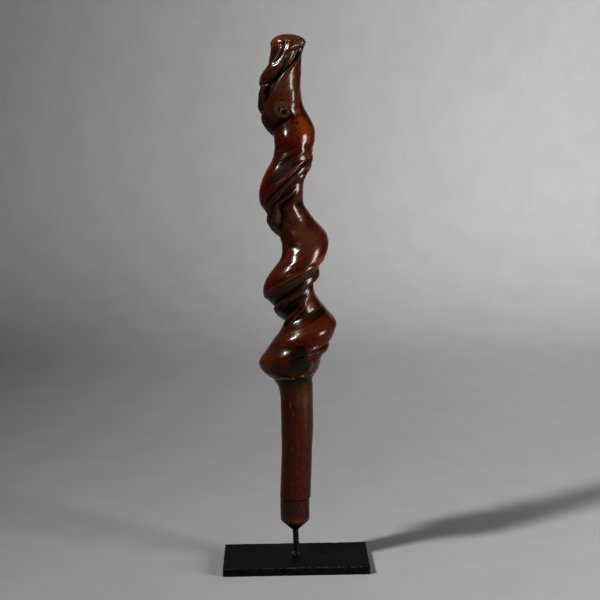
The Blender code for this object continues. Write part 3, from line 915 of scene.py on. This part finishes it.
def paint_material(name, colour, roughness, wear_start):
    """Black paint with dust and faint brush marks, and a pale bare colour where the mask and a noise say
    so: worn edges on the plate, a painted highlight on the rod's weld drop.
    """
    n = Nodes(name)
    place = n.place()
    mottle = n.noise(place, 140, 5, 0.6)
    grit = n.noise(place, 2600, 3, 0.6)
    wear = n.between(n.noise(place, 420, 4, 0.65), wear_start, wear_start + 0.14)
    paler = tuple(min(1.0, c * 2.4 + 0.003) for c in colour)
    shade = n.mix(n.between(mottle, 0.35, 0.7), colour, paler)
    shade = n.mix(n.between(grit, 0.68, 0.8, 0, 0.35), shade, PAINT_DUST)
    shade = n.mix(n.times(n.mask("worn"), wear), shade, BARE_METAL_AND_GLINT)
    rough = n.between(mottle, 0.3, 0.7, roughness - 0.08, roughness + 0.1)
    normal = n.bump(grit, 0.25, 0.0002)
    return n.finish(Base_Color=shade, Roughness=rough, Normal=normal, Specular_IOR_Level=0.09)


def line_places(length, edge_lines, gap):
    """Places along one side of the plate: close together near the ends, wider in between."""
    half = length / 2
    near = half - np.array(edge_lines)
    middle = np.linspace(-near[-1], near[-1], round(2 * near[-1] / gap) + 1)[1:-1]
    return np.concatenate([-near, middle, near[::-1]])


def rounded_box_mesh(name, size, edge, edge_lines, gaps):
    """A closed box with eased, unevenly worn edges, and how worn each point is."""
    places = [line_places(length, edge_lines, gap) for length, gap in zip(size, gaps)]
    bm = bmesh.new()
    found = {}

    def point(*spot):
        key = tuple(round(v * 1e7) for v in spot)
        if key not in found:
            found[key] = bm.verts.new(spot)
        return found[key]

    for axis in range(3):
        first, second = [k for k in range(3) if k != axis]
        for end in (0, -1):
            for a in range(len(places[first]) - 1):
                for b in range(len(places[second]) - 1):
                    corners = []
                    for da, db in ((0, 0), (1, 0), (1, 1), (0, 1)):
                        spot = [0, 0, 0]
                        spot[axis] = places[axis][end]
                        spot[first] = places[first][a + da]
                        spot[second] = places[second][b + db]
                        corners.append(point(*spot))
                    bm.faces.new(corners)
    bmesh.ops.recalc_face_normals(bm, faces=bm.faces)
    mesh = bpy.data.meshes.new(name)
    bm.to_mesh(mesh)
    bm.free()
    points = np.zeros(len(mesh.vertices) * 3)
    mesh.vertices.foreach_get("co", points)
    points = points.reshape(-1, 3)
    half = np.array(size) / 2
    nicks = rough_noise(points / MM + 500, (6, 6, 6), 41)
    radius = edge * (1 + 0.35 * nicks + 1.1 * ease(nicks, 0.38, 0.7))[:, None]
    core = np.clip(points, -half + radius, half - radius)
    away = points - core
    distance = np.linalg.norm(away, axis=1, keepdims=True)
    rounded = core + away * np.minimum(1, radius / np.maximum(distance, 1e-9))
    mesh.vertices.foreach_set("co", rounded.ravel())
    mesh.shade_smooth()
    near_edge = np.sort(half - np.abs(points), axis=1)[:, 1]
    return mesh, 1 - ease(near_edge, 0.2 * edge, 1.5 * edge)


def build_plate():
    low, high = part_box("base_plate")
    mesh, worn = rounded_box_mesh("stand_plate", high - low, PLATE_EDGE, PLATE_EDGE_LINES, PLATE_LINE_GAPS)
    mesh.transform(Matrix.Translation((low + high) / 2))
    add_attribute(mesh, "worn", worn)
    add_piece(mesh, "base_plate", paint_material(*PLATE_PAINT))


def build_rod():
    """The rod on its leaning line, with an uneven ring of weld at its foot and a drop on the left, painted
    pale as a highlight.
    """
    foot = GAP + math.sin(ROD_LEAN) * BEAD_RADIUS
    weld_rings = np.linspace(0, 1, WELD_RINGS) ** 1.5 * WELD_HEIGHT
    rod_rings = np.linspace(WELD_HEIGHT, ROD_LENGTH, ROD_RINGS)[1:]
    heights = np.concatenate([weld_rings, rod_rings]) + foot
    rise = np.clip((heights - foot - WELD_FOOT) / (WELD_HEIGHT - WELD_FOOT), 0, 1)
    radii = ROD_RADIUS + (BEAD_RADIUS - ROD_RADIUS) * (1 - np.sqrt(1 - (1 - rise) ** 2))
    rings = np.array([rod_ring(h, r, ROD_SIDES) for h, r in zip(heights, radii)])
    axis = np.array([rod_line(h) for h in heights])[:, None]
    lumps = rough_noise(rings / MM + 300, (1.6, 1.6, 1.2), 51)[..., None]
    swell = ((radii - ROD_RADIUS) / BEAD_RADIUS)[:, None, None]
    rings = axis + (rings - axis) * (1 + WELD_LUMPS * lumps * swell)
    offset = rings - axis
    from_drop = np.hypot(offset[..., 1] - DROP_BACK, (heights - foot)[:, None] - DROP_UP)
    drop = ease(np.maximum(0, 1 - from_drop / DROP_SIZE), 0, 0.8) * (offset[..., 0] < 0)
    rings[..., 0] -= DROP_RISE * drop
    mesh = closed_tube("stand_pin", rings, rod_line(foot), rod_line(heights[-1] + GAP))
    # The drop takes the paint's pale colour: a painted highlight, not wear
    worn = np.zeros(len(mesh.vertices))
    worn[:drop.size] = drop.ravel()
    add_attribute(mesh, "worn", worn)
    add_piece(mesh, "stand_rod", paint_material(*ROD_PAINT))


def build_camera():
    pan, tilt, roll = (math.radians(a) for a in (CAMERA_PAN, CAMERA_TILT, CAMERA_ROLL))
    ahead = Vector((math.sin(pan) * math.cos(tilt), math.cos(pan) * math.cos(tilt), -math.sin(tilt)))
    right = Vector((math.cos(pan), -math.sin(pan), 0))
    right = Matrix.Rotation(roll, 3, ahead) @ right
    up = right.cross(ahead)
    data = bpy.data.cameras.new("photo_camera")
    data.lens = CAMERA_LENS
    data.sensor_width = 36
    camera = bpy.data.objects.new("photo_camera", data)
    camera.matrix_world = Matrix((right, up, -ahead)).transposed().to_4x4()
    camera.location = CAMERA_PLACE
    bpy.context.scene.collection.objects.link(camera)
    bpy.context.scene.camera = camera


def add_lamp(name, place, aim, width, height, watts, colour, spread):
    data = bpy.data.lights.new(name, "AREA")
    data.shape = "RECTANGLE"
    data.size = width
    data.size_y = height
    data.energy = watts
    data.color = colour
    data.spread = math.radians(spread)
    light = bpy.data.objects.new(name, data)
    light.location = place
    light.rotation_euler = (Vector(aim) - Vector(place)).to_track_quat("-Z", "Y").to_euler()
    bpy.context.scene.collection.objects.link(light)


def set_contrast():
    """The photograph's own tone curve, deeper in the darks than plain display."""
    view = bpy.context.scene.view_settings
    view.view_transform = "Standard"
    view.exposure = PHOTO_EXPOSURE
    view.gamma = PHOTO_GAMMA


def build_world():
    """A dim room, which looks pale behind the object but puts little light on it."""
    world = bpy.data.worlds.new("dim_room")
    world.use_nodes = True
    tree = world.node_tree
    background = tree.nodes["Background"]
    background.inputs["Color"].default_value = (0.95, 0.97, 1.0, 1)
    seen = tree.nodes.new("ShaderNodeLightPath")
    strength = tree.nodes.new("ShaderNodeMapRange")
    strength.inputs["To Min"].default_value = ROOM_LIGHT
    strength.inputs["To Max"].default_value = ROOM_SEEN
    tree.links.new(seen.outputs["Is Camera Ray"], strength.inputs["Value"])
    tree.links.new(strength.outputs["Result"], background.inputs["Strength"])
    bpy.context.scene.world = world


def build_stage():
    """A pale floor that sweeps up into a wall, two softboxes, two lamps on the wall and a dim room."""
    turns = math.pi / 2 * ease((np.arange(SWEEP_STEPS) + 0.5) / SWEEP_STEPS, 0, 1)
    back = SWEEP_START + np.cumsum(np.cos(turns)) * SWEEP_LENGTH / SWEEP_STEPS
    up = np.cumsum(np.sin(turns)) * SWEEP_LENGTH / SWEEP_STEPS
    profile = [(SWEEP_FRONT, 0), (SWEEP_START, 0), *zip(back, up), (back[-1], WALL_HEIGHT)]
    verts = [(x, y, z) for y, z in profile for x in (-SWEEP_HALF_WIDTH, SWEEP_HALF_WIDTH)]
    faces = [(2 * i, 2 * i + 1, 2 * i + 3, 2 * i + 2) for i in range(len(profile) - 1)]
    mesh = bpy.data.meshes.new("paper_sweep")
    mesh.from_pydata(verts, [], faces)
    mesh.shade_smooth()
    n = Nodes("pale_paper")
    colour = n.mix(n.between(n.noise(n.place(), 18, 3), 0.3, 0.7), *PAPER_TONES)
    mesh.materials.append(n.finish(Base_Color=colour, Roughness=0.9))
    sweep = bpy.data.objects.new("paper_sweep", mesh)
    bpy.context.scene.collection.objects.link(sweep)
    build_world()
    for lamp in LAMPS:
        add_lamp(*lamp)
    set_contrast()


build_camera()
build_stage()
build_staff()
build_rod()
build_plate()
